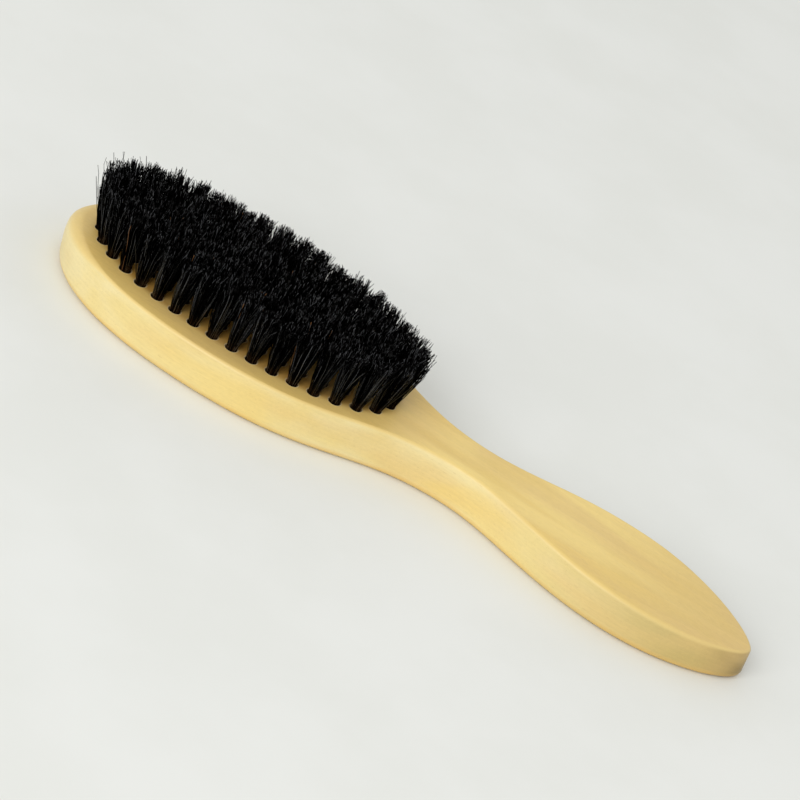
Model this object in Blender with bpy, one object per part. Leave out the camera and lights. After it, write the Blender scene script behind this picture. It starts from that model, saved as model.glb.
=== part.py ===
"""Clothes brush: a one-piece wooden stock, bristle tufts set in blind holes, and their anchor wires.

Units are metres. The flat back of the stock lies on z = 0 and the bristles point up, +Z.
+X runs along the brush from the toe of the head to the tip of the handle. The origin is on
the back face, on the centre line, under the middle of the tuft field.
"""
import math

import bmesh
import bpy

MM = 0.001

# Stock, seen from above: distances along the brush are measured from its toe.
LENGTH = 270 * MM
THICKNESS = 15.6 * MM
TIP_THICKNESS = 11.5 * MM
# The side walls lean in: the outline of the bristle face is this far inside that of the back.
WALL_LEAN = 1.1 * MM
EDGE_ROUND = 1.8 * MM
EDGE_ROUND_SEGMENTS = 2
HEAD_AT, HEAD_HALF_WIDTH = 62.8 * MM, 37.5 * MM
WAIST_AT, WAIST_HALF_WIDTH = 159.7 * MM, 11.8 * MM
GRIP_AT, GRIP_HALF_WIDTH = 221.8 * MM, 23.3 * MM
# How far the outline runs on in its tangent's direction at each of those places.
TOE_REACH = 7.3 * MM
HEAD_REACH_TO_TOE, HEAD_REACH_TO_WAIST = 55 * MM, 56.4 * MM
WAIST_REACH_TO_HEAD, WAIST_REACH_TO_GRIP = 37.6 * MM, 17.4 * MM
GRIP_REACH_TO_WAIST, GRIP_REACH_TO_TIP = 27.1 * MM, 28 * MM
TIP_REACH = 7 * MM
OUTLINE_STEPS = 12

# Tuft field: rings of tufts that follow one oval, each ring one row spacing inside the last.
FIELD_AT = 68 * MM
FIELD_HALF_LENGTH = 57.4 * MM
FIELD_HALF_WIDTH = 25.5 * MM
FIELD_SQUARENESS = 2.28
ROW_SPACING = 8.5 * MM
# Row name, number of tufts, number of groups the row is made in, shift along the row in pitches.
ROWS = (
    ("rim", 36, 8, 0.85),
    ("second", 29, 6, 0.5),
    ("third", 20, 4, 0.0),
)
CENTRE_TUFTS, CENTRE_GROUPS = 8, 2
CENTRE_HALF_LENGTH = 28 * MM

# One tuft, its hole and its anchor.
FACETS = 8
HOLE_RADIUS = 2.2 * MM
HOLE_DEPTH = 10.5 * MM
GAP = 0.3 * MM
TUFT_ROOT_RADIUS = HOLE_RADIUS - GAP
TUFT_TIP_RADIUS = 3.5 * MM
BRISTLE_HEIGHT = 19 * MM
FLARE_START = 1 * MM
# Height range over the wood in which the flared tufts of one group have grown together.
MERGE_FROM, MERGE_TO = 10 * MM, 16.5 * MM
MERGE_WIDTH = 4 * MM
ANCHOR_WIDTH = 1 * MM
ANCHOR_HEIGHT = 1.2 * MM
ANCHOR_LIFT = 0.5 * MM
ANCHOR_BITE = 2.6 * MM

FACE_Z = THICKNESS
HOLE_BOTTOM_Z = FACE_Z - HOLE_DEPTH
ANCHOR_Z = HOLE_BOTTOM_Z + ANCHOR_LIFT


def material(name, colour, roughness, metallic=0.0):
    made = bpy.data.materials.new(name)
    made.use_nodes = True
    shader = made.node_tree.nodes["Principled BSDF"]
    shader.inputs["Base Color"].default_value = (*colour, 1.0)
    shader.inputs["Roughness"].default_value = roughness
    shader.inputs["Metallic"].default_value = metallic
    return made


def mesh_object(name, mesh_data, finish):
    """Turn a bmesh into an object of the scene, with its faces pointing out."""
    bmesh.ops.recalc_face_normals(mesh_data, faces=mesh_data.faces)
    mesh = bpy.data.meshes.new(name)
    mesh_data.to_mesh(mesh)
    mesh_data.free()
    mesh.materials.append(finish)
    mesh.shade_smooth()
    mesh.set_sharp_from_angle(angle=math.radians(35))
    made = bpy.data.objects.new(name, mesh)
    bpy.context.collection.objects.link(made)
    return made


def hide_tool(tool):
    """Mark a Boolean's second shape as a guide, not a piece of the brush."""
    tool.hide_render = True
    tool.display_type = "WIRE"
    return tool


def boolean(target, tool, operation):
    step = target.modifiers.new(tool.name, "BOOLEAN")
    step.operation = operation
    step.object = hide_tool(tool)


def bezier(start, start_handle, end_handle, end, steps):
    """Points of a cubic curve, without its end point."""
    points = []
    for step in range(steps):
        t = step / steps
        weights = ((1 - t) ** 3, 3 * (1 - t) ** 2 * t, 3 * (1 - t) * t * t, t ** 3)
        corners = (start, start_handle, end_handle, end)
        points.append(tuple(sum(w * c[axis] for w, c in zip(weights, corners)) for axis in (0, 1)))
    return points


def half_outline():
    """(distance from the toe, half width) from the toe to the tip of the handle."""
    toe, tip = (0.0, 0.0), (LENGTH, 0.0)
    head = (HEAD_AT, HEAD_HALF_WIDTH)
    waist = (WAIST_AT, WAIST_HALF_WIDTH)
    grip = (GRIP_AT, GRIP_HALF_WIDTH)
    return (
        bezier(toe, (0.0, TOE_REACH), (HEAD_AT - HEAD_REACH_TO_TOE, HEAD_HALF_WIDTH), head,
               OUTLINE_STEPS)
        + bezier(head, (HEAD_AT + HEAD_REACH_TO_WAIST, HEAD_HALF_WIDTH),
                 (WAIST_AT - WAIST_REACH_TO_HEAD, WAIST_HALF_WIDTH), waist, OUTLINE_STEPS)
        + bezier(waist, (WAIST_AT + WAIST_REACH_TO_GRIP, WAIST_HALF_WIDTH),
                 (GRIP_AT - GRIP_REACH_TO_WAIST, GRIP_HALF_WIDTH), grip, OUTLINE_STEPS)
        + bezier(grip, (GRIP_AT + GRIP_REACH_TO_TIP, GRIP_HALF_WIDTH), (LENGTH, TIP_REACH), tip,
                 OUTLINE_STEPS)
        + [tip]
    )


def leaned_in(half, index):
    """The point of the outline at index, moved inwards by the lean of the walls."""
    distance, width = half[index]
    if width == 0.0:
        return distance + math.copysign(WALL_LEAN, LENGTH / 2 - distance), 0.0
    (before, width_before), (after, width_after) = half[index - 1], half[index + 1]
    run, rise = after - before, width_after - width_before
    scale = WALL_LEAN / math.hypot(run, rise)
    return distance + rise * scale, width - run * scale


def thickness_at(distance):
    """The head and waist are of one thickness; the handle thins towards its tip."""
    past_waist = max(0.0, (distance - WAIST_AT) / (LENGTH - WAIST_AT))
    return THICKNESS - (THICKNESS - TIP_THICKNESS) * past_waist ** 2


def stock_blank(finish):
    """The shaped board, before it is drilled."""
    data = bmesh.new()
    half = half_outline()
    walls = {}
    for side in (-1, 1):
        for index, (distance, width) in enumerate(half):
            if width == 0.0 and side > 0:
                walls[side, index] = walls[-side, index]
                continue
            face_distance, face_width = leaned_in(half, index)
            walls[side, index] = (
                data.verts.new((distance - FIELD_AT, side * width, 0.0)),
                data.verts.new((face_distance - FIELD_AT, side * face_width,
                                thickness_at(distance))),
            )
    last = len(half) - 1
    waist = 2 * OUTLINE_STEPS
    for side in (-1, 1):
        for index in range(last):
            (low, high), (next_low, next_high) = walls[side, index], walls[side, index + 1]
            data.faces.new((low, next_low, next_high, high))
    for level in (0, 1):
        near = [walls[-1, index][level] for index in range(waist + 1)]
        far = [walls[1, index][level] for index in range(1, waist + 1)]
        data.faces.new(near + far[::-1])
        for index in range(waist, last):
            corners = [walls[-1, index], walls[-1, index + 1], walls[1, index + 1], walls[1, index]]
            ring = list(dict.fromkeys(corner[level] for corner in corners))
            data.faces.new(ring)
    stock = mesh_object("stock", data, finish)
    rounding = stock.modifiers.new("edge rounding", "BEVEL")
    rounding.width = EDGE_ROUND
    rounding.segments = EDGE_ROUND_SEGMENTS
    rounding.limit_method = "ANGLE"
    rounding.angle_limit = math.radians(50)
    rounding.use_clamp_overlap = False
    return stock


def oval(half_length, half_width, samples=720):
    """Closed list of points round a slightly squared oval, starting at its handle end."""
    points = []
    for step in range(samples + 1):
        angle = 2 * math.pi * step / samples
        cosine, sine = math.cos(angle), math.sin(angle)
        points.append((
            half_length * math.copysign(abs(cosine) ** (2 / FIELD_SQUARENESS), cosine),
            half_width * math.copysign(abs(sine) ** (2 / FIELD_SQUARENESS), sine),
        ))
    return points


def even_spots(points, count, shift):
    """Places at equal distances along a closed line; shift is in pitches."""
    lengths = [0.0]
    for start, end in zip(points, points[1:]):
        lengths.append(lengths[-1] + math.dist(start, end))
    spots = []
    index = 0
    for number in range(count):
        wanted = (number + shift) / count * lengths[-1]
        while lengths[index + 1] < wanted:
            index += 1
        part = (wanted - lengths[index]) / (lengths[index + 1] - lengths[index])
        start, end = points[index], points[index + 1]
        spots.append(tuple(start[axis] + part * (end[axis] - start[axis]) for axis in (0, 1)))
    return spots


def split(items, groups):
    """Cut a list into nearly equal runs."""
    cuts = [round(len(items) * number / groups) for number in range(groups + 1)]
    return [items[start:end] for start, end in zip(cuts, cuts[1:])]


def tuft_groups():
    """(row name, group number, centres of its tufts) for the whole field."""
    found = []
    for ring, (row, count, groups, shift) in enumerate(ROWS):
        inset = ring * ROW_SPACING
        points = oval(FIELD_HALF_LENGTH - inset, FIELD_HALF_WIDTH - inset)
        for number, run in enumerate(split(even_spots(points, count, shift), groups), 1):
            found.append((row, number, run))
    pitch = 2 * CENTRE_HALF_LENGTH / (CENTRE_TUFTS - 1)
    centre = [(CENTRE_HALF_LENGTH - pitch * number, 0.0) for number in range(CENTRE_TUFTS)]
    for number, run in enumerate(split(centre, CENTRE_GROUPS), 1):
        found.append(("centre", number, run))
    return found


def add_turned(data, centre, profile):
    """Add a closed solid with FACETS sides; profile is (radius, z) from its bottom to its top."""
    rings = []
    for radius, z in profile:
        ring = []
        for facet in range(FACETS):
            angle = 2 * math.pi * (facet + 0.5) / FACETS
            x = centre[0] + radius * math.cos(angle)
            y = centre[1] + radius * math.sin(angle)
            ring.append(data.verts.new((x, y, z)))
        rings.append(ring)
    for lower, upper in zip(rings, rings[1:]):
        for facet in range(FACETS):
            after = (facet + 1) % FACETS
            data.faces.new((lower[facet], lower[after], upper[after], upper[facet]))
    data.faces.new(rings[0][::-1])
    data.faces.new(rings[-1])


def ribbon(data, path, width, bottom, top, overrun=0.0):
    """Add a bar of rectangular section that follows a path through the tuft centres."""
    path = [extended(path[1], path[0], overrun), *path[1:-1], extended(path[-2], path[-1], overrun)]
    corners = []
    for index, (x, y) in enumerate(path):
        before = path[max(index - 1, 0)]
        after = path[min(index + 1, len(path) - 1)]
        along = math.dist(before, after)
        across_x = -(after[1] - before[1]) / along * width / 2
        across_y = (after[0] - before[0]) / along * width / 2
        corners.append([
            data.verts.new((x - across_x, y - across_y, bottom)),
            data.verts.new((x + across_x, y + across_y, bottom)),
            data.verts.new((x + across_x, y + across_y, top)),
            data.verts.new((x - across_x, y - across_y, top)),
        ])
    for near, far in zip(corners, corners[1:]):
        for side in range(4):
            after = (side + 1) % 4
            data.faces.new((near[side], near[after], far[after], far[side]))
    data.faces.new(corners[0][::-1])
    data.faces.new(corners[-1])


def extended(inner, outer, extra):
    """The point extra further out on the line from inner to outer."""
    scale = 1 + extra / math.dist(inner, outer)
    return tuple(inner[axis] + (outer[axis] - inner[axis]) * scale for axis in (0, 1))


def drill(stock, groups, finish):
    """Cut the blind tuft holes, and the slots that the anchor wires bite into."""
    holes = bmesh.new()
    slots = bmesh.new()
    for _, _, centres in groups:
        for centre in centres:
            add_turned(holes, centre, ((HOLE_RADIUS, HOLE_BOTTOM_Z), (HOLE_RADIUS, FACE_Z + GAP)))
        ribbon(slots, centres, ANCHOR_WIDTH + 2 * GAP, ANCHOR_Z - GAP,
               ANCHOR_Z + ANCHOR_HEIGHT + GAP, ANCHOR_BITE + GAP)
    boolean(stock, mesh_object("hole_drills", holes, finish), "DIFFERENCE")
    boolean(stock, mesh_object("slot_cutters", slots, finish), "DIFFERENCE")


def tufts(row, number, centres, finish):
    """One group of bristle tufts, grown together where they have flared."""
    data = bmesh.new()
    foot_z = ANCHOR_Z + ANCHOR_HEIGHT + GAP
    profile = (
        (TUFT_ROOT_RADIUS, foot_z),
        (TUFT_ROOT_RADIUS, FACE_Z + FLARE_START),
        (TUFT_TIP_RADIUS, FACE_Z + BRISTLE_HEIGHT),
    )
    for centre in centres:
        add_turned(data, centre, profile)
    group = mesh_object(f"{row}_tufts_{number}", data, finish)
    join = bmesh.new()
    ribbon(join, centres, MERGE_WIDTH, FACE_Z + MERGE_FROM, FACE_Z + MERGE_TO)
    boolean(group, mesh_object(f"{row}_merge_{number}", join, finish), "UNION")


def anchors(row, number, centres, finish):
    """The flat wire over which the tufts of one group are folded."""
    data = bmesh.new()
    ribbon(data, centres, ANCHOR_WIDTH, ANCHOR_Z, ANCHOR_Z + ANCHOR_HEIGHT, ANCHOR_BITE)
    mesh_object(f"{row}_anchors_{number}", data, finish)


def build():
    for thing in list(bpy.data.objects):
        bpy.data.objects.remove(thing)
    wood = material("pale lacquered wood", (0.78, 0.60, 0.30), 0.42)
    bristle = material("black bristle", (0.012, 0.010, 0.009), 0.45)
    wire = material("steel anchor wire", (0.62, 0.62, 0.60), 0.35, metallic=1.0)
    groups = tuft_groups()
    stock = stock_blank(wood)
    drill(stock, groups, wood)
    for row, number, centres in groups:
        tufts(row, number, centres, bristle)
        anchors(row, number, centres, wire)


build()
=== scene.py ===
"""Looks of the clothes brush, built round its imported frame.

The stock is a fine board with drilled holes and a procedural lacquered-wood finish. Each group of
CAD tufts is stood for by real bristles, folded over short anchor wires at the bottoms of their
holes. Lengths are metres, MM turns millimetres into them, and every random draw is seeded.
"""
import math

import bpy
import numpy as np
from mathutils import Matrix, Vector
from mathutils.geometry import delaunay_2d_cdt


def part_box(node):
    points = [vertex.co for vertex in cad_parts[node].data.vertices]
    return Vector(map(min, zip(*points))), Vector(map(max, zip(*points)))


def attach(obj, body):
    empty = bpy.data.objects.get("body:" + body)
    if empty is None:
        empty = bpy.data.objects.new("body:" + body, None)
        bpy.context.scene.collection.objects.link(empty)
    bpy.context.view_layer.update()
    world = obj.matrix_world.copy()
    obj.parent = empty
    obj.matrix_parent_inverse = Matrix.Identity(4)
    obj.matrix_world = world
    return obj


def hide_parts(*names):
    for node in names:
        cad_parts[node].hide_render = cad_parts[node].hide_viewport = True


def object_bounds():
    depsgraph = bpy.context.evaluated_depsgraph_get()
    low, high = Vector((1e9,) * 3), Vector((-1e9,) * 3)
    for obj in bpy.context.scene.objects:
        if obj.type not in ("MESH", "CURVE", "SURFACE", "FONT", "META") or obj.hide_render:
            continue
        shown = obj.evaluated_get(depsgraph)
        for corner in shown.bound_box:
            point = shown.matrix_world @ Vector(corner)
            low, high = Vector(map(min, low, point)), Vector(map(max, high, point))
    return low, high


MM = 0.001
TINY = 0.02 * MM

# Stock: the CAD outline, with finer edges. Rounds are radii, and the toe's are added to the head's.
# Lengths run from the toe or the tip, and HANDLE_FROM and HANDLE_BLEND are in distances to the waist.
OUTLINE_SPACING = 0.8 * MM
CURVE_STEPS = 20
BACK_ROUND = 3.0 * MM
HEAD_FACE_ROUND, HANDLE_FACE_ROUND = 1.2 * MM, 1.5 * MM
TOE_FACE_ROUND, TOE_WALL_ROUND = 2.8 * MM, 3.3 * MM
TOE_BULGE, TOE_BULGE_POWER = 1.3 * MM, 1.6
TOE_ROUND_LENGTH, TIP_ROUND_LENGTH = 25 * MM, 12 * MM
TIP_SHARPNESS = 0.3
TIP_SAMPLE = 2.5 * MM
GRIP_FROM = 0.7
HANDLE_FROM, HANDLE_BLEND = 0.5, 0.7
SANDING, SANDING_LONG, SANDING_SHORT = 0.1, 17 * MM, 7.3 * MM
ROUND_STEPS = 6
WALL_STEPS = 6
SHARP_ANGLE = 40
FACE_GRID = 4.5 * MM
GRID_FROM_EDGE, GRID_FROM_HOLE, GRID_FROM_END = 4.5 * MM, 1 * MM, 6 * MM

# Drilled holes
HOLE_SIDES = 20
HOLE_RADIUS = 2.2 * MM
HOLE_CHAMFER, HOLE_RIM = 0.18 * MM, 0.45 * MM
UNDER_WIRE = 0.5 * MM

# Bristles. LEVELS are the shares of a strand's height at which its centre line has a point, and
# TALLEST is the most that a strand rises past the CAD height, as a share of it.
FIBRES_PER_TUFT = 122
FIBRE_RADIUS, TIP_RADIUS = 0.115 * MM, 0.095 * MM
GIRTH = (0.8, 1.15)
LEVELS = (1.0, 0.87, 0.62, 0.32, 0.04)
BEND, TIP_CROSSING, TIP_HOOK = 0.4 * MM, 0.5 * MM, 0.4 * MM
TIP_SPREAD = 1.38
FLARE_INSIDE, FLARE_TO_EDGE = 0.7, 0.3
TIP_SCATTER = 0.6 * MM
TIP_DOME = 0.05
UNEVEN, CLUMP_RISE = 0.014, 0.045
TALLEST = 0.045
SHORT_SHARE, SHORT_RANGE = 0.1, (0.78, 0.96)
CLUMPS, CLUMP_PULL = 13, (0.1, 0.75)
TOE_LEAN, TOE_LEAN_SHARE, TOE_LEAN_POWER = 3.6 * MM, 0.3, 1.3
HEEL_LEAN, HEEL_LEAN_FROM = 1.4 * MM, 0.75
LEAN_SCATTER = 0.3 * MM
STRAY_SHARE, END_STRAY_SHARE, STRAY_REACH = 0.02, 0.08, (1.2, 1.6)
BROWN_SHARE, BROWN_RANGE = 0.001, (0.5, 1.0)
PACKING_SCATTER = 0.04
IN_HOLE = 0.92
ABOVE_WIRE, FOLD_BELOW, FOLD_HALF_WIDTH = 0.9 * MM, 0.2 * MM, 0.45 * MM
FOLD_LENGTH = 0.8

# Anchor wires. A station is a place along half the wire's length and the section's size there.
WIRE_OVERHANG, WIRE_HALF_WIDTH, WIRE_EDGE = 0.4 * MM, 0.5 * MM, 0.12 * MM
WIRE_STATIONS = ((-1.0, 0.55), (-0.86, 1.0), (0.86, 1.0), (1.0, 0.55))
WIRE_NIP = (0.4, 0.6)
WIRE_SHARP_ANGLE = 50

# Stage and light
FLOOR_REACH, FLOOR_GAP = 30.0, 0.05 * MM
SURROUNDINGS = 0.76
KEY_AZIMUTH, KEY_ELEVATION, KEY_DISTANCE = -14, 30, 3.0
KEY_SIZE, KEY_POWER = 1.8, 48

# Camera: where the brush's middle is seen from, and how far it sits from the picture's middle.
VIEW_AZIMUTH, VIEW_ELEVATION, VIEW_ROLL = 9.785, 30.384, 27.981
VIEW_DISTANCE = 1128.7 * MM
VIEW_LENS = 153.1
AIM_RIGHT, AIM_UP = -1.67 * MM, 12.47 * MM

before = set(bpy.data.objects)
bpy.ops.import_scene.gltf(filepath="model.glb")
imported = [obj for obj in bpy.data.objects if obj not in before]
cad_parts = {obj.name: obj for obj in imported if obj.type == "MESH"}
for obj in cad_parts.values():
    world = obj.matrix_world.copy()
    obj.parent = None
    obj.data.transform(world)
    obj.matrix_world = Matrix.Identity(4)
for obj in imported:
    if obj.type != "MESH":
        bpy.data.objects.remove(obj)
cad_low, cad_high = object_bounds()
stock_low, stock_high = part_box("stock")
FACE_Z = stock_high.z
draws = np.random.default_rng(20240611)


# ---------------------------------------------------------------- reading the frame

def node_points(name):
    """The corners of a CAD node, each place once."""
    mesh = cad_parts[name].data
    flat = np.empty(len(mesh.vertices) * 3, np.float32)
    mesh.vertices.foreach_get("co", flat)
    return np.unique(flat.reshape(-1, 3).astype(float).round(6), axis=0)


def tuft_centres(name):
    """Centres of the tufts of one CAD node, from the rings of corners at their feet."""
    points = node_points(name)
    feet = points[points[:, 2] < points[:, 2].min() + TINY][:, :2]
    centres = []
    while len(feet):
        near = np.linalg.norm(feet - feet[0], axis=1) < 2 * HOLE_RADIUS
        centres.append(feet[near].mean(axis=0))
        feet = feet[~near]
    return np.array(centres)


def row_directions(centres):
    """At each tuft, the unit direction to its nearest neighbour in the same group."""
    found = []
    for centre in centres:
        away = centres - centre
        gaps = np.linalg.norm(away, axis=1)
        gaps[gaps < TINY] = np.inf
        nearest = gaps.argmin()
        found.append(away[nearest] / gaps[nearest])
    return np.array(found)


# ---------------------------------------------------------------- materials

class Look:
    """One procedural material. An input takes a number, a colour or another node's output."""

    def __init__(self, name):
        self.material = bpy.data.materials.new(name)
        self.material.use_nodes = True
        self.tree = self.material.node_tree
        self.surface = self.tree.nodes["Principled BSDF"]

    def feed(self, socket, value):
        if isinstance(value, bpy.types.NodeSocket):
            self.tree.links.new(value, socket)
        else:
            socket.default_value = value

    def node(self, kind, inputs, **settings):
        made = self.tree.nodes.new(kind)
        for key, value in settings.items():
            setattr(made, key, value)
        for key, value in inputs.items():
            self.feed(made.inputs[key], value)
        return made.outputs

    def millimetres(self, stretch=(1, 1, 1), shift=(0, 0, 0)):
        """Object coordinates in millimetres, with each axis divided by its stretch."""
        place = self.node("ShaderNodeTexCoord", {})["Object"]
        scale = tuple(1 / (MM * part) for part in stretch)
        return self.node("ShaderNodeMapping", {"Vector": place, "Scale": scale, "Location": shift})[0]

    def noise(self, vector, scale, detail=2.0, roughness=0.5, distortion=0.0):
        values = {"Vector": vector, "Scale": scale, "Detail": detail, "Roughness": roughness,
                  "Distortion": distortion}
        return self.node("ShaderNodeTexNoise", values)["Fac"]

    def spread(self, value, low, high, to_low=0.0, to_high=1.0):
        """Map a range smoothly to another one, held at its ends."""
        values = {"Value": value, "From Min": low, "From Max": high, "To Min": to_low,
                  "To Max": to_high}
        return self.node("ShaderNodeMapRange", values, interpolation_type="SMOOTHSTEP")[0]

    def math(self, first, second, operation="ADD"):
        return self.node("ShaderNodeMath", {0: first, 1: second}, operation=operation)[0]

    def mix(self, factor, first, second, kind="MIX"):
        values = {0: factor, 6: first, 7: second}
        return self.node("ShaderNodeMix", values, data_type="RGBA", blend_type=kind)[2]

    def attribute(self, name):
        return self.node("ShaderNodeAttribute", {}, attribute_name=name)

    def bump(self, height, strength, distance):
        values = {"Height": height, "Strength": strength, "Distance": distance}
        return self.node("ShaderNodeBump", values)[0]

    def finish(self, **inputs):
        for key, value in inputs.items():
            self.feed(self.surface.inputs[key.replace("_", " ")], value)
        return self.material


def rgb(red, green, blue):
    return (red, green, blue, 1.0)


WOOD = {
    # The sides and the face differ in colour by which way they face: painted light.
    "pale side": rgb(0.775, 0.65, 0.33),
    "side": rgb(0.75, 0.60, 0.25),
    # Painted shade for the tip's end, which faces away from the light.
    "side near tip": rgb(0.50, 0.37, 0.12),
    "painted shade at tip": rgb(0.27, 0.18, 0.05),
    "pale face": rgb(0.845, 0.635, 0.215),
    "face": rgb(0.785, 0.56, 0.165),
    # Painted shade: the face darkens round the tuft field and most of all among the tufts.
    "painted shade round tufts": rgb(0.76, 0.52, 0.165),
    "painted shade among tufts": rgb(0.47, 0.235, 0.035),
    "face near tip": rgb(0.70, 0.50, 0.165),
    "patch": rgb(0.69, 0.48, 0.18),
    "cloud": rgb(0.77, 0.555, 0.16),
    "pore": rgb(0.42, 0.25, 0.09),
    # Painted shade along the face's edge.
    "arris": rgb(0.68, 0.52, 0.20),
    # Painted light: a warm reflection along the back's rounded edge.
    "heel": rgb(0.80, 0.50, 0.12),
    # Painted highlight on the holes' chamfers, partly also the paler raw wood of the drilled edge.
    "rim": rgb(0.88, 0.74, 0.46),
    "bore": rgb(0.55, 0.36, 0.15),
}
BRISTLE = {
    "black": rgb(0.0005, 0.0004, 0.0004),
    "soft black": rgb(0.0026, 0.0024, 0.0022),
    "root": rgb(0.006, 0.003, 0.0015),
    "brown root": rgb(0.03, 0.014, 0.005),
    "brown": rgb(0.26, 0.12, 0.045),
    # Painted highlight: the grey of the few strands that stand in for glints.
    "painted_glint": rgb(0.044, 0.045, 0.048),
}
STEEL, DULL_STEEL = rgb(0.62, 0.61, 0.58), rgb(0.42, 0.38, 0.33)
FLOOR_DARK, FLOOR_LIGHT = rgb(0.775, 0.785, 0.745), rgb(0.80, 0.81, 0.775)
BACKDROP = rgb(0.74, 0.75, 0.71)


def field_distance(look, place, field_reach):
    """Squared distance from the middle of the tuft field, scaled so that the field's edge is at 1."""
    parts = []
    for axis in (0, 1):
        reach = look.math(look.math(place[axis], 0.0, "ABSOLUTE"), field_reach[axis], "DIVIDE")
        parts.append(look.math(reach, 2.0, "POWER"))
    return look.math(*parts)


def wood_tones(look, field_reach):
    """The wood's broad colours, with painted light and shade: sides paler and face tanner by facing, and
    painted shade round and most of all among the tufts and at the tip.
    """
    bands = look.noise(look.millimetres((9, 1, 1), (3.0, 1.2, 0.4)), 0.085, 2.0, 0.45, 0.5)
    patches = look.noise(look.millimetres((3.2, 1, 1), (8.0, 3.0, 1.0)), 0.045, 2.0, 0.5, 0.3)
    clouds = look.noise(look.millimetres((1.6, 1, 1), (31.0, 12.0, 7.0)), 0.035, 2.0, 0.5, 0.4)
    coordinates = look.node("ShaderNodeTexCoord", {})
    facing = look.node("ShaderNodeSeparateXYZ", {0: coordinates["Normal"]})
    place = look.node("ShaderNodeSeparateXYZ", {0: coordinates["Object"]})
    from_field = field_distance(look, place, field_reach)

    side = look.mix(look.spread(bands, 0.36, 0.66), WOOD["pale side"], WOOD["side"])
    side = look.mix(look.spread(place[0], 105 * MM, 200 * MM), side, WOOD["side near tip"])
    # Painted shade: the side colour darkens at the very tip, whose end faces away from the key light.
    side = look.mix(look.spread(place[0], 186 * MM, 201 * MM), side, WOOD["painted shade at tip"])
    face = look.mix(look.spread(bands, 0.38, 0.62), WOOD["pale face"], WOOD["face"])
    # Painted shade where the bristles shade the wood: round the tuft field and, darker, among the tufts.
    face = look.mix(look.spread(from_field, 0.95, 2.4, 0.75, 0.0), face, WOOD["painted shade round tufts"])
    face = look.mix(look.spread(from_field, 0.86, 1.1, 0.9, 0.0), face, WOOD["painted shade among tufts"])
    face = look.mix(look.spread(place[0], 130 * MM, 195 * MM), face, WOOD["face near tip"])
    # Painted light: the face gets a tanner colour and the sides a paler one by which way the surface faces.
    colour = look.mix(look.spread(facing[2], 0.25, 0.85), side, face)
    colour = look.mix(look.spread(patches, 0.5, 0.74, 0.0, 0.55), colour, WOOD["patch"])
    return look.mix(look.spread(clouds, 0.54, 0.72, 0.0, 0.45), colour, WOOD["cloud"])


def wood_grain(look, fibres):
    """A colour with all its parts near 1 that carries the growth rings, fibres, hairlines and flecks."""
    rings = look.node("ShaderNodeTexWave", {
        "Vector": look.millimetres((14, 1, 0.55), (2.0, 40.0, 60.0)), "Scale": 0.11,
        "Distortion": 3.0, "Detail": 2.0, "Detail Scale": 0.5}, wave_type="RINGS",
        rings_direction="X", wave_profile="SAW")["Fac"]
    hairlines = look.noise(look.millimetres((70, 1, 1), (0.0, 7.0, 2.0)), 6.0, 1.0, 0.5)
    flecks = look.noise(look.millimetres((2.2, 1, 1), (1.0, 9.0, 3.0)), 0.9, 2.0, 0.55, 0.8)
    shade = look.math(look.spread(rings, 0.0, 1.0, 0.982, 1.012),
                     look.spread(fibres, 0.3, 0.7, 0.985, 1.012), "MULTIPLY")
    shade = look.math(shade, look.spread(hairlines, 0.3, 0.62, 0.978, 1.006), "MULTIPLY")
    shade = look.math(shade, look.spread(flecks, 0.35, 0.65, 0.982, 1.014), "MULTIPLY")
    return look.node("ShaderNodeCombineColor", {0: shade, 1: shade, 2: shade})[0]


def wood_look(field_reach):
    """Pale fine-grained wood under a satin lacquer, with its grain along the brush."""
    look = Look("lacquered wood")
    fibres = look.noise(look.millimetres((45, 1, 1)), 2.6, 3.0, 0.6)
    pores = look.noise(look.millimetres((11, 1, 1), (5.0, 0.0, 3.0)), 3.4, 1.0, 0.5)
    pore_mask = look.spread(pores, 0.67, 0.75, 0.0, 0.25)
    colour = look.mix(1.0, wood_tones(look, field_reach), wood_grain(look, fibres), "MULTIPLY")
    colour = look.mix(pore_mask, colour, WOOD["pore"])

    # Painted light: a warm line along the back's rounded edge stands in for light reflected there; this
    # noise varies its strength.
    edge_glow_noise = look.noise(look.millimetres((4, 1, 1), (2.0, 5.0, 0.0)), 0.22, 3.0, 0.6)
    masks = {name: look.attribute(name)["Fac"] for name in ("arris", "heel", "rim", "bore")}
    painted_edge_glow = look.math(masks["heel"], look.spread(edge_glow_noise, 0.25, 0.7, 0.75, 0.4), "MULTIPLY")
    # Painted shade along the face's edge tones down the light its rounding catches.
    colour = look.mix(look.math(masks["arris"], 0.5, "MULTIPLY"), colour, WOOD["arris"])
    colour = look.mix(painted_edge_glow, colour, WOOD["heel"])
    # A pale rim on each hole's chamfer: painted highlight where the edge catches light, and partly the paler
    # raw wood there.
    colour = look.mix(look.math(masks["rim"], 0.75, "MULTIPLY"), colour, WOOD["rim"])
    colour = look.mix(masks["bore"], colour, WOOD["bore"])

    height = look.math(look.math(fibres, 0.5, "MULTIPLY"), look.math(pore_mask, -1.2, "MULTIPLY"))
    relief = look.bump(height, 0.08, 0.05 * MM)
    gloss = look.noise(look.millimetres((6, 1, 1)), 0.4, 3.0, 0.6)
    return look.finish(Base_Color=colour, Roughness=look.spread(gloss, 0.3, 0.7, 0.4, 0.52),
                       Normal=relief, Coat_Weight=0.12, Coat_Roughness=0.3)


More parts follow.
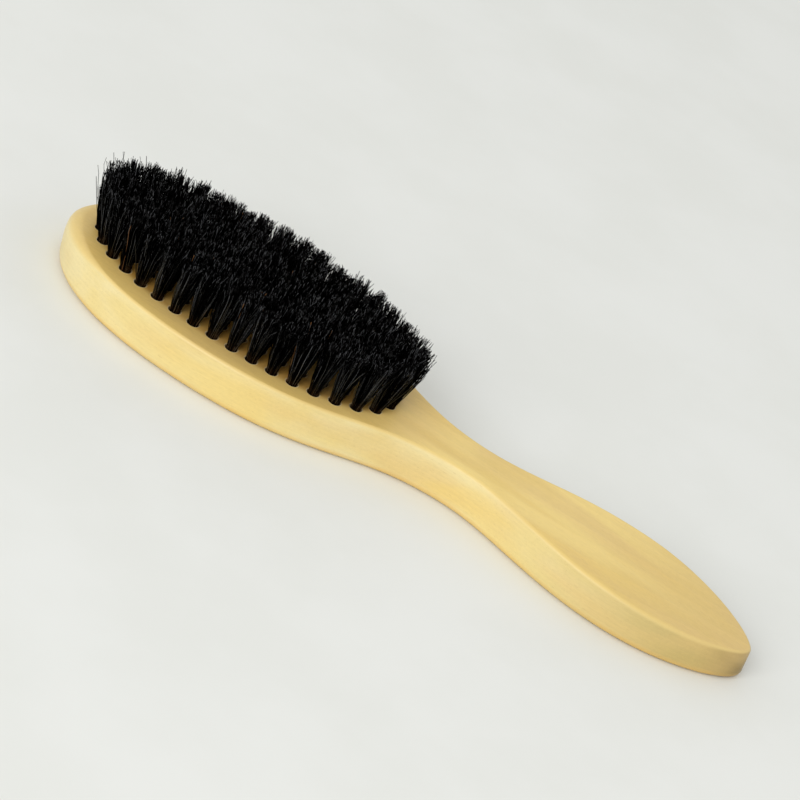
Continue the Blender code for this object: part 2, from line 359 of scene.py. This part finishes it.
def bristle_look():
    """Stiff black natural bristle: some strands shine, half are brown at the root, few are all brown, and
    about one in ten is painted grey, less so near the root, as a painted highlight.

    The strand attribute holds a random number, the height above the wood and the share of brown.
    """
    look = Look("black bristle")
    strand = look.attribute("strand")["Color"]
    parts = look.node("ShaderNodeSeparateColor", {0: strand})
    tint, height, brown = parts[0], parts[1], parts[2]
    scales = look.noise(look.millimetres((1, 1, 2.5)), 3.0, 2.0, 0.6)
    colour = look.mix(look.spread(tint, 0.2, 1.0), BRISTLE["black"], BRISTLE["soft black"])
    root = look.spread(height, 0.0, 0.22, 1.0, 0.0)
    brown_root = look.math(root, look.spread(tint, 0.5, 0.6), "MULTIPLY")
    colour = look.mix(look.math(root, 0.7, "MULTIPLY"), colour, BRISTLE["root"])
    colour = look.mix(brown_root, colour, BRISTLE["brown root"])
    colour = look.mix(brown, colour, BRISTLE["brown"])
    # Painted highlight: about one strand in ten is painted grey, less so near the root, for the glints along
    # it.
    painted_glint = look.math(look.spread(tint, 0.9, 0.94), look.spread(height, 0.0, 0.5, 0.2, 1.0), "MULTIPLY")
    colour = look.mix(painted_glint, colour, BRISTLE["painted_glint"])
    shine = look.math(look.spread(tint, 0.66, 0.96, 0.0, 1.0),
                     look.spread(height, 0.5, 1.0, 1.0, 0.4), "MULTIPLY")
    roughness = look.spread(scales, 0.3, 0.7, 0.16, 0.3)
    return look.finish(Base_Color=colour, Roughness=roughness, Specular_IOR_Level=shine)


def wire_look():
    """Drawn steel wire: bright, with fine die marks and dull spots."""
    look = Look("anchor wire")
    spots = look.noise(look.millimetres(), 1.8, 3.0, 0.6)
    marks = look.noise(look.millimetres((1, 1, 0.04)), 2.0, 2.0, 0.5)
    colour = look.mix(look.spread(spots, 0.4, 0.75), STEEL, DULL_STEEL)
    roughness = look.spread(spots, 0.3, 0.8, 0.26, 0.5)
    return look.finish(Base_Color=colour, Metallic=1.0, Roughness=roughness,
                       Normal=look.bump(marks, 0.2, 0.02 * MM))


def floor_look():
    """Matt pale backdrop paper with very faint mottling."""
    look = Look("pale backdrop")
    mottle = look.noise(look.millimetres(), 0.012, 4.0, 0.55)
    colour = look.mix(look.spread(mottle, 0.35, 0.65), FLOOR_DARK, FLOOR_LIGHT)
    return look.finish(Base_Color=colour, Roughness=0.9, Specular_IOR_Level=0.1)


# ---------------------------------------------------------------- mesh helpers

def mesh_piece(name, vertices, faces, finish, attributes, sharp_angle=None):
    """A mesh object that rides on the stock's body, with its float or colour attributes."""
    mesh = bpy.data.meshes.new(name)
    mesh.from_pydata(vertices.tolist(), [], faces)
    mesh.shade_smooth()
    if sharp_angle is not None:
        mesh.set_sharp_from_angle(angle=math.radians(sharp_angle))
    for key, values in attributes.items():
        kind, field = ("FLOAT_COLOR", "color") if values.ndim == 2 else ("FLOAT", "value")
        mesh.attributes.new(key, kind, "POINT").data.foreach_set(field, values.astype(np.float32).ravel())
    mesh.materials.append(finish)
    made = bpy.data.objects.new(name, mesh)
    bpy.context.scene.collection.objects.link(made)
    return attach(made, "root")


# ---------------------------------------------------------------- stock

def half_outline():
    """(x, half width) where the CAD stock is widest, from its toe to its tip, and the walls' lean.

    The lean is how far the outline at the bristle face lies inside the one at the back.
    """
    points = node_points("stock")
    widest = points[points[:, 1] > points[:, 1].max() - TINY][0]
    wall = points[abs(points[:, 2] - widest[2]) < 4 * TINY]
    half = wall[wall[:, 1] > -TINY][:, :2]
    above = points[(abs(points[:, 0] - widest[0]) < 2 * TINY) & (points[:, 2] > FACE_Z / 2)]
    upper = above[above[:, 1].argmax()]
    lean = (widest[1] - upper[1]) / (upper[2] - widest[2]) * FACE_Z
    return half[half[:, 0].argsort()], lean


def smooth_loop(corners, spacing):
    """Evenly spaced points on a smooth closed curve through the corners, and its outward normals."""
    ahead = np.roll(corners, -1, axis=0)
    spans = np.linalg.norm(ahead - corners, axis=1)[:, None]
    chords = (ahead - corners) / spans
    spans_before = np.roll(spans, 1, axis=0)
    tangents = np.roll(chords, 1, axis=0) * spans + chords * spans_before
    tangents /= np.linalg.norm(tangents, axis=1)[:, None]
    dense = []
    for t in np.linspace(0, 1, CURVE_STEPS, endpoint=False):
        pull = tangents * spans
        pull_ahead = np.roll(tangents, -1, axis=0) * spans
        dense.append((2 * t ** 3 - 3 * t ** 2 + 1) * corners + (t ** 3 - 2 * t ** 2 + t) * pull
                     + (3 * t ** 2 - 2 * t ** 3) * ahead + (t ** 3 - t ** 2) * pull_ahead)
    dense = np.stack(dense, axis=1).reshape(-1, 2)
    closed = np.vstack([dense, dense[:1]])
    run = np.concatenate([[0], np.cumsum(np.linalg.norm(np.diff(closed, axis=0), axis=1))])
    wanted = np.linspace(0, run[-1], round(run[-1] / spacing), endpoint=False)
    loop = np.stack([np.interp(wanted, run, closed[:, axis]) for axis in (0, 1)], axis=1)
    along = np.roll(loop, -1, axis=0) - np.roll(loop, 1, axis=0)
    normals = np.stack([along[:, 1], -along[:, 0]], axis=1)
    return loop, normals / np.linalg.norm(normals, axis=1)[:, None]


def circle(centre, radius):
    angles = np.arange(HOLE_SIDES) * 2 * math.pi / HOLE_SIDES
    return centre + radius * np.stack([np.cos(angles), np.sin(angles)], axis=1)


def band(first, second, count):
    """Quads between two closed runs of points, given the index at which each run starts."""
    turns = [(here, (here + 1) % count) for here in range(count)]
    return [(first + here, first + after, second + after, second + here) for here, after in turns]


def sheet(vertices, border, rims, inner, centres):
    """Triangles inside the border loop, through the inner points, with the rim loops left open."""
    used = np.concatenate([border, *rims, inner])
    points = vertices[used][:, :2]
    edges, first = [], 0
    for loop in (border, *rims):
        run = range(first, first + len(loop))
        edges += [(here, here + 1) for here in run[:-1]] + [(run[-1], first)]
        first += len(loop)
    flat = [Vector(point) for point in points]
    _, _, found, origin, _, _ = delaunay_2d_cdt(flat, edges, [], 0, 1e-9, True)
    corners = np.array([[origin[index][0] for index in face] for face in found])
    middles = points[corners].mean(axis=1)
    edge_x, edge_y = points[:len(border)].T
    toe, tip = edge_x.argmin(), edge_x.argmax()
    side = np.roll(np.arange(len(border)), -toe)[:(tip - toe) % len(border) + 1]
    inside = abs(middles[:, 1]) < np.interp(middles[:, 0], edge_x[side], abs(edge_y[side]))
    if len(centres):
        rim_flats = (HOLE_RADIUS + HOLE_RIM) * math.cos(math.pi / HOLE_SIDES)
        inside &= np.linalg.norm(middles[:, None] - centres[None], axis=2).min(axis=1) > rim_flats
    return [tuple(int(used[index]) for index in triangle) for triangle in corners[inside]]


def handle_shape(half):
    """Where along x the waist is narrowest, and how high the CAD board is at its tip."""
    past_head = half[half[:, 0] > half[half[:, 1].argmax(), 0]]
    grip = past_head[past_head[:, 0] > stock_low.x + GRIP_FROM * (stock_high.x - stock_low.x)]
    neck = past_head[past_head[:, 0] < grip[grip[:, 1].argmax(), 0]]
    points = node_points("stock")
    tip_height = points[points[:, 0] > stock_high.x - TIP_SAMPLE][:, 2].max()
    return neck[neck[:, 1].argmin(), 0], tip_height


def top_at(x, waist_x, tip_height):
    """Height of the bristle face: level up to the waist, then falling to the tip."""
    past_waist = np.clip((x - waist_x) / (stock_high.x - waist_x), 0, None)
    return FACE_Z - (FACE_Z - tip_height) * past_waist ** 2


def face_rounds(loop, waist_x):
    """Along the outline, how far the face's edge is rounded inward and down, and the nearness to the toe."""
    on_handle = np.clip((loop[:, 0] - HANDLE_FROM * waist_x) / (HANDLE_BLEND * waist_x), 0, 1)
    on_handle = on_handle * on_handle * (3 - 2 * on_handle)
    long_wave = np.sin(loop[:, 0] / SANDING_LONG)
    hand_sanding = 1 + SANDING * long_wave * np.sin(loop[:, 0] / SANDING_SHORT + loop[:, 1])
    at_toe = np.clip(1 - (loop[:, 0] - stock_low.x) / TOE_ROUND_LENGTH, 0, 1)
    at_tip = np.clip(1 - (stock_high.x - loop[:, 0]) / TIP_ROUND_LENGTH, 0, 1)
    face_round = HEAD_FACE_ROUND + (HANDLE_FACE_ROUND - HEAD_FACE_ROUND) * on_handle
    face_round = face_round * hand_sanding
    face_round *= 1 - TIP_SHARPNESS * at_tip
    return face_round + TOE_FACE_ROUND * at_toe, face_round + TOE_WALL_ROUND * at_toe, at_toe


def board_rings(loop, normals, lean, waist_x, tip_height):
    """Rings of points from the back to the edge of the bristle face.

    With them come two masks: arris is 1 along the face's edge, and heel along the back's.
    """
    top = top_at(loop[:, 0], waist_x, tip_height)
    face_inset, face_drop, at_toe = face_rounds(loop, waist_x)
    rings, arris, heel = [], [], []

    def add_ring(inset, z, arris_value=0.0, heel_value=0.0):
        bulge = TOE_BULGE * at_toe * np.sin(math.pi * (z / top) ** TOE_BULGE_POWER)
        leaned = inset + lean * (1 - at_toe) * z / top - bulge
        rings.append(np.column_stack([loop - normals * leaned[:, None], z]))
        arris.append(np.full(len(loop), arris_value))
        heel.append(np.full(len(loop), heel_value))

    for step in range(ROUND_STEPS + 1):
        turn = math.pi / 2 * step / ROUND_STEPS
        inset = np.full(len(loop), BACK_ROUND * (1 - math.sin(turn)))
        add_ring(inset, np.full(len(loop), BACK_ROUND * (1 - math.cos(turn))), 0.0, math.sin(2 * turn))
    for step in range(1, WALL_STEPS):
        share = step / WALL_STEPS
        add_ring(np.zeros(len(loop)), BACK_ROUND + (top - face_drop - BACK_ROUND) * share)
    for step in range(ROUND_STEPS + 1):
        turn = math.pi / 2 * step / ROUND_STEPS
        add_ring(face_inset * (1 - math.cos(turn)), top - face_drop * (1 - math.sin(turn)),
                 math.sin(2 * turn))
    return rings, arris, heel


def drilled_holes(centres, start):
    """Points of all the holes, level by level from rim to bottom, and faces that count from start."""
    wires = [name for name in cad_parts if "anchors" in name]
    bottom = min(node_points(name)[:, 2].min() for name in wires) - UNDER_WIRE
    widths = (HOLE_RADIUS + HOLE_RIM, HOLE_RADIUS + HOLE_CHAMFER, HOLE_RADIUS, HOLE_RADIUS)
    levels = (FACE_Z, FACE_Z, FACE_Z - HOLE_CHAMFER, bottom)
    points = [
        np.column_stack([circle(centre, width), np.full(HOLE_SIDES, level)])
        for width, level in zip(widths, levels) for centre in centres
    ]
    per_level = len(centres) * HOLE_SIDES
    rims = range(start, start + per_level, HOLE_SIDES)
    faces = []
    for level in range(len(levels) - 1):
        for rim in rims:
            faces += band(rim + level * per_level, rim + (level + 1) * per_level, HOLE_SIDES)
    for rim in rims:
        floor = rim + (len(levels) - 1) * per_level
        faces.append(tuple(range(floor, floor + HOLE_SIDES)))
    return points, faces


def face_grid(half, centres):
    """Places of the points inside the face and the back, clear of their edge and of the holes."""
    grid_x, grid_y = np.meshgrid(np.arange(stock_low.x, stock_high.x, FACE_GRID),
                                 np.arange(stock_low.y, stock_high.y, FACE_GRID))
    grid = np.column_stack([grid_x.ravel(), grid_y.ravel()])
    room = np.interp(grid[:, 0], half[:, 0], half[:, 1]) - abs(grid[:, 1])
    clear = np.array([np.linalg.norm(centres - point, axis=1).min() for point in grid])
    grid = grid[(room > GRID_FROM_EDGE) & (clear > HOLE_RADIUS + GRID_FROM_HOLE)]
    past_toe = grid[:, 0] > stock_low.x + GRID_FROM_END
    return grid[past_toe & (grid[:, 0] < stock_high.x - GRID_FROM_END)]


def stock(all_centres, finish):
    """The shaped and drilled board."""
    half, lean = half_outline()
    loop, normals = smooth_loop(np.vstack([half * (1, -1), half[-2:0:-1]]), OUTLINE_SPACING)
    waist_x, tip_height = handle_shape(half)
    rings, arris, heel = board_rings(loop, normals, lean, waist_x, tip_height)
    count = len(loop)
    start = len(rings) * count
    bores, bore_faces = drilled_holes(all_centres, start)
    grid = face_grid(half, all_centres)
    face_points = np.column_stack([grid, top_at(grid[:, 0], waist_x, tip_height)])
    back_points = np.column_stack([grid, np.zeros(len(grid))])
    vertices = np.vstack([*rings, *bores, face_points, back_points])

    per_level = len(all_centres) * HOLE_SIDES
    first_inner = start + len(bores) * HOLE_SIDES
    face_edge = np.arange(start - count, start)
    rims = np.arange(start, start + per_level).reshape(-1, HOLE_SIDES)
    on_face = np.arange(len(grid)) + first_inner
    on_back = on_face + len(grid)
    faces = []
    for ring in range(len(rings) - 1):
        faces += band(ring * count, (ring + 1) * count, count)
    faces += bore_faces
    faces += sheet(vertices, face_edge, rims, on_face, all_centres)
    faces += [triangle[::-1] for triangle in sheet(vertices, np.arange(count), [], on_back, [])]

    rim, bore = np.zeros(len(vertices)), np.zeros(len(vertices))
    # rim marks each hole's chamfer edge, for a painted highlight in the wood's look.
    rim[start + per_level:start + 2 * per_level] = 1.0
    bore[start + 2 * per_level:first_inner] = 1.0
    padding = np.zeros(len(vertices) - start)
    made = mesh_piece("stock_board", vertices, faces, finish, {
        "arris": np.concatenate([*arris, padding]),
        "heel": np.concatenate([*heel, padding]),
        "bore": bore,
        "rim": rim,
    }, sharp_angle=SHARP_ANGLE)
    even = made.modifiers.new("face normals", "WEIGHTED_NORMAL")
    even.keep_sharp = True
    even.weight = 100
    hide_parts("stock")


# ---------------------------------------------------------------- bristles and wires

def tubes(paths, radii):
    """Three-sided closed tubes along centre lines; paths is fibre by point by axis."""
    count, length, _ = paths.shape
    tangents = np.gradient(paths, axis=1)
    tangents /= np.linalg.norm(tangents, axis=2)[:, :, None]
    side = draws.normal(size=(count, 3))
    corners = np.empty((count, length, 3, 3))
    for point in range(length):
        tangent = tangents[:, point]
        side = side - (side * tangent).sum(axis=1)[:, None] * tangent
        side /= np.linalg.norm(side, axis=1)[:, None]
        other = np.cross(tangent, side)
        for corner in range(3):
            angle = 2 * math.pi * corner / 3
            offset = math.cos(angle) * side + math.sin(angle) * other
            corners[:, point, corner] = paths[:, point] + radii[:, point, None] * offset
    body = []
    for point in range(length - 1):
        body += band(point * 3, point * 3 + 3, 3)
    caps = [(2, 1, 0), (length * 3 - 3, length * 3 - 2, length * 3 - 1)]
    starts = (np.arange(count) * length * 3)[:, None, None]
    faces = (starts + np.array(body)).reshape(-1, 4).tolist()
    faces += (starts + np.array(caps)).reshape(-1, 3).tolist()
    return corners.reshape(-1, 3), faces


def lean_at(centre, field_low, field_high):
    """How far a tuft's tips stand outward from its hole, towards the toe or the heel."""
    share = (centre[0] - field_low[0]) / (field_high[0] - field_low[0])
    toe = TOE_LEAN * max(0.0, 1 - share / TOE_LEAN_SHARE) ** TOE_LEAN_POWER
    heel = HEEL_LEAN * max(0.0, (share - HEEL_LEAN_FROM) / (1 - HEEL_LEAN_FROM))
    return np.array([heel - toe, 0.0]) + draws.normal(0, LEAN_SCATTER, 2)


def strands(roots, centre, lean, root_radius, tip_radius, height):
    """Centre lines above the wood for strands that start at the given places, from the tip down.

    The outer strands of a tuft flare and end lower, and a few stray out of it, more so where the
    tuft leans.
    """
    count = len(roots)
    offset = (roots - centre) / root_radius
    reach = np.linalg.norm(offset, axis=1)[:, None]
    tips = offset * tip_radius * TIP_SPREAD * (FLARE_INSIDE + FLARE_TO_EDGE * reach)
    tips = tips + draws.normal(0, TIP_SCATTER, (count, 2))
    angle = draws.uniform(0, 2 * math.pi, CLUMPS)
    distance = tip_radius * TIP_SPREAD * np.sqrt(draws.uniform(0, 1, CLUMPS))
    clumps = np.stack([distance * np.cos(angle), distance * np.sin(angle)], axis=1)
    nearest = np.linalg.norm(tips[:, None] - clumps[None], axis=2).argmin(axis=1)
    pull = draws.uniform(*CLUMP_PULL, (count, 1))
    tips = tips * (1 - pull) + clumps[nearest] * pull
    leaning = np.linalg.norm(lean) / TOE_LEAN
    stray = draws.random((count, 1)) < STRAY_SHARE + END_STRAY_SHARE * leaning
    strayed = tips * draws.uniform(*STRAY_REACH, (count, 1)) + lean * draws.random((count, 1))
    tips = np.where(stray, strayed, tips)
    tips = tips + centre + lean
    uneven = draws.normal(0, UNEVEN, count) + draws.normal(0, CLUMP_RISE, CLUMPS)[nearest]
    uneven = uneven + TIP_DOME * (0.5 - reach[:, 0] ** 2)
    rise = height * (1 + np.where(uneven > 0, TALLEST * np.tanh(uneven / TALLEST), uneven))
    short = draws.random(count) < SHORT_SHARE
    rise = np.where(short, rise * draws.uniform(*SHORT_RANGE, count), rise)
    bend = draws.normal(0, BEND, (count, 2))
    crossing = draws.normal(0, TIP_CROSSING, (count, 2))
    hook = draws.normal(0, TIP_HOOK, (count, 2))
    points = []
    for level in LEVELS:
        spot = roots + (tips - roots) * level + bend * 4 * level * (1 - level)
        spot += crossing * max(0.0, level - LEVELS[2]) / (1 - LEVELS[2])
        spot += hook * max(0.0, level - LEVELS[1]) / (1 - LEVELS[1])
        points.append(np.column_stack([spot, FACE_Z + rise * level]))
    return np.stack(points, axis=1)


def tuft(centre, along, lean, sizes):
    """Fibres of one tuft: each runs from a tip down its hole, under the wire and up to a tip."""
    root_radius, tip_radius, height, wire_low, wire_high = sizes
    order = np.arange(FIBRES_PER_TUFT) + 0.5
    reach = np.sqrt(order / FIBRES_PER_TUFT)
    turn = order * math.pi * (3 - math.sqrt(5)) + draws.uniform(0, 2 * math.pi)
    across = np.array([-along[1], along[0]])
    ends = []
    for side in (1, -1):
        by = side * reach * np.cos(turn) + draws.normal(0, PACKING_SCATTER, len(order))
        over = side * abs(reach * np.sin(turn)) + draws.normal(0, PACKING_SCATTER, len(order))
        long_way = np.hypot(by, over)
        squeeze = np.minimum(1, 1 / long_way)[:, None] * (root_radius - FIBRE_RADIUS)
        roots = centre + (by[:, None] * along + over[:, None] * across) * squeeze
        above = strands(roots, centre, lean, root_radius, tip_radius, height)
        beside = centre + (roots - centre) * IN_HOLE
        in_hole = np.column_stack([beside, np.full(len(order), wire_high + ABOVE_WIRE)])
        under = centre + along * by[:, None] * FOLD_LENGTH * root_radius + side * across * FOLD_HALF_WIDTH
        fold = np.column_stack([under, np.full(len(order), wire_low - FOLD_BELOW)])
        ends.append(np.concatenate([above, in_hole[:, None], fold[:, None]], axis=1))
    return np.concatenate([ends[0], ends[1][:, ::-1]], axis=1)


def bristle_group(name, all_centres, finish):
    """The bristles of one CAD tuft group."""
    centres = tuft_centres(name)
    directions = row_directions(centres)
    wires = name.replace("tufts", "anchors")
    points = node_points(name)
    foot = points[points[:, 2] < points[:, 2].min() + TINY][:, :2]
    root_radius = np.linalg.norm(foot[:, None] - centres[None], axis=2).min(axis=1).max()
    tips = points[points[:, 2] > points[:, 2].max() - TINY][:, :2]
    tip_radius = np.linalg.norm(tips[:, None] - centres[None], axis=2).min(axis=1).max()
    wire_low, wire_high = (corner.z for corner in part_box(wires))
    sizes = (root_radius, tip_radius, points[:, 2].max() - FACE_Z, wire_low, wire_high)
    field_low, field_high = all_centres.min(axis=0), all_centres.max(axis=0)
    paths = np.concatenate([
        tuft(centre, along, lean_at(centre, field_low, field_high), sizes)
        for centre, along in zip(centres, directions)
    ])
    count, length, _ = paths.shape
    along_fibre = np.array([*LEVELS, 0, 0, 0, 0, *LEVELS[::-1]])
    girth = draws.uniform(*GIRTH, (count, 1))
    radii = (TIP_RADIUS + (FIBRE_RADIUS - TIP_RADIUS) * (1 - along_fibre ** 4)) * girth
    vertices, faces = tubes(paths, radii)
    tint = draws.random(count)
    brown = np.where(draws.random(count) < BROWN_SHARE, draws.uniform(*BROWN_RANGE, count), 0.0)
    strand = np.ones((count, length, 3, 4))
    strand[..., 0] = tint[:, None, None]
    strand[..., 1] = along_fibre[None, :, None]
    strand[..., 2] = brown[:, None, None]
    made = mesh_piece(name.replace("tufts", "bristles"), vertices, faces, finish,
                      {"strand": strand.reshape(-1, 4)})
    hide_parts(name)


def wire_group(name, finish):
    """Short flat wires with nipped ends, one across each hole's bottom."""
    tufts = name.replace("anchors", "tufts")
    centres = tuft_centres(tufts)
    low, high = (corner.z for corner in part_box(name))
    half_length, half_width, edge = HOLE_RADIUS + WIRE_OVERHANG, WIRE_HALF_WIDTH, WIRE_EDGE
    profile = [(-half_width, low + edge), (-half_width + edge, low), (half_width - edge, low),
               (half_width, low + edge), (half_width, high - edge), (half_width - edge, high),
               (-half_width + edge, high), (-half_width, high - edge)]
    sides = len(profile)
    vertices, faces = [], []
    middle = (low + high) / 2
    for centre, along in zip(centres, row_directions(centres)):
        across = np.array([-along[1], along[0]])
        start = len(vertices)
        for reach, swell in WIRE_STATIONS:
            thinned = WIRE_NIP[0] + WIRE_NIP[1] * swell
            for sideways, z in profile:
                spot = centre + along * reach * half_length + across * sideways * swell
                vertices.append((*spot, middle + (z - middle) * thinned))
        for station in range(len(WIRE_STATIONS) - 1):
            for side in range(sides):
                after = (side + 1) % sides
                near = start + station * sides
                faces.append((near + side, near + sides + side, near + sides + after, near + after))
        faces.append(tuple(range(start, start + sides)))
        last = len(vertices) - 1
        faces.append(tuple(range(last, last - sides, -1)))
    made = mesh_piece(name.replace("anchors", "wires"), np.array(vertices), faces, finish, {},
                      sharp_angle=WIRE_SHARP_ANGLE)
    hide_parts(name)


# ---------------------------------------------------------------- stage, light and camera

def stage_floor():
    mesh = bpy.data.meshes.new("floor")
    signs = ((-1, -1), (1, -1), (1, 1), (-1, 1))
    corners = [(FLOOR_REACH * x, FLOOR_REACH * y, 0) for x, y in signs]
    mesh.from_pydata(corners, [], [(0, 1, 2, 3)])
    mesh.materials.append(floor_look())
    floor = bpy.data.objects.new("floor", mesh)
    floor.location.z = -FLOOR_GAP
    bpy.context.scene.collection.objects.link(floor)


def key_light():
    """A square soft light aimed at the brush; azimuth 0 is in front, towards -Y."""
    lamp = bpy.data.lights.new("key", "AREA")
    lamp.size = KEY_SIZE
    lamp.energy = KEY_POWER
    light = bpy.data.objects.new("key", lamp)
    turn, rise = math.radians(KEY_AZIMUTH), math.radians(KEY_ELEVATION)
    away = Vector((math.sin(turn) * math.cos(rise), -math.cos(turn) * math.cos(rise), math.sin(rise)))
    light.location = (cad_low + cad_high) / 2 + away * KEY_DISTANCE
    light.rotation_euler = away.to_track_quat("Z", "Y").to_euler()
    bpy.context.scene.collection.objects.link(light)


def world_light(strength, seen):
    """Even white surroundings; the camera sees them in a colour close to the floor's."""
    world = bpy.data.worlds.new("studio")
    bpy.context.scene.world = world
    world.use_nodes = True
    nodes, links = world.node_tree.nodes, world.node_tree.links
    nodes.clear()
    even = nodes.new("ShaderNodeBackground")
    even.inputs["Strength"].default_value = strength
    even.inputs["Color"].default_value = rgb(1.0, 1.0, 1.0)
    backdrop = nodes.new("ShaderNodeBackground")
    backdrop.inputs["Color"].default_value = seen
    path = nodes.new("ShaderNodeLightPath")
    choice = nodes.new("ShaderNodeMixShader")
    links.new(path.outputs["Is Camera Ray"], choice.inputs[0])
    links.new(even.outputs[0], choice.inputs[1])
    links.new(backdrop.outputs[0], choice.inputs[2])
    links.new(choice.outputs[0], nodes.new("ShaderNodeOutputWorld").inputs["Surface"])


def set_camera():
    middle = (cad_low + cad_high) / 2
    aim = Vector((middle.x, middle.y, FACE_Z / 2))
    turn, rise, roll = (math.radians(v) for v in (VIEW_AZIMUTH, VIEW_ELEVATION, VIEW_ROLL))
    back = Vector((math.sin(turn) * math.cos(rise), -math.cos(turn) * math.cos(rise), math.sin(rise)))
    right = Vector((math.cos(turn), math.sin(turn), 0))
    upright = Matrix((right, back.cross(right), back)).transposed()
    rolled = upright @ Matrix.Rotation(roll, 3, "Z")
    place = aim + back * VIEW_DISTANCE
    target = aim + rolled @ Vector((AIM_RIGHT, AIM_UP, 0))
    axis = (place - target).normalized()
    side = (rolled.col[0] - axis * rolled.col[0].dot(axis)).normalized()
    data = bpy.data.cameras.new("camera")
    data.lens = VIEW_LENS
    data.clip_start, data.clip_end = 0.05, 200
    camera = bpy.data.objects.new("camera", data)
    facing = Matrix((side, axis.cross(side), axis)).transposed()
    camera.matrix_world = Matrix.Translation(place) @ facing.to_4x4()
    bpy.context.scene.collection.objects.link(camera)
    bpy.context.scene.camera = camera


def build():
    bpy.context.scene.view_settings.view_transform = "Standard"
    tuft_nodes = sorted(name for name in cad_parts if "tufts" in name)
    all_centres = np.vstack([tuft_centres(name) for name in tuft_nodes])
    stock(all_centres, wood_look(all_centres.max(axis=0) + HOLE_RADIUS))
    bristle, wire = bristle_look(), wire_look()
    for name in tuft_nodes:
        bristle_group(name, all_centres, bristle)
        wire_group(name.replace("tufts", "anchors"), wire)
    stage_floor()
    world_light(SURROUNDINGS, BACKDROP)
    key_light()
    set_camera()


build()
